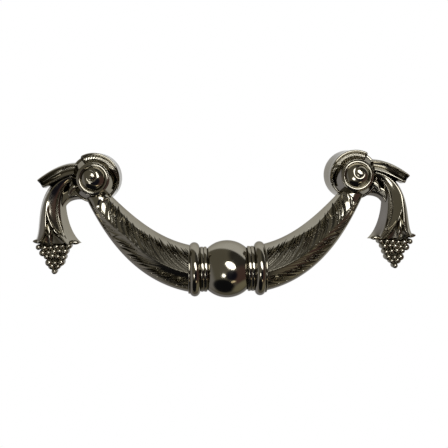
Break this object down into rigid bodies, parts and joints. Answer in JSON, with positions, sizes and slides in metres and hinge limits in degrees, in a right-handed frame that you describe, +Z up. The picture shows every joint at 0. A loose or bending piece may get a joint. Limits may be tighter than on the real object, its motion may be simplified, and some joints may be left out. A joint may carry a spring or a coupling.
{
  "type": "cabinet handle",
  "caption": "One-piece cast drawer handle: a drooping feathered bail with a ball and collars, hung between scroll posts that end in leaves and bead clusters; screwed on from behind.",
  "frame": {"origin": "midway between the two screw holes, on the plane that meets the drawer front", "axes": "+X to the right as seen from the front, +Y into the drawer front, +Z up; the front looks toward -Y"},
  "size_m": [0.142, 0.0315, 0.0533],
  "materials": {
    "black_nickel": "polished black nickel plating on a zinc-alloy casting"
  },
  "bodies": {
    "root": {"handle": "black_nickel"}
  },
  "joints": []
}
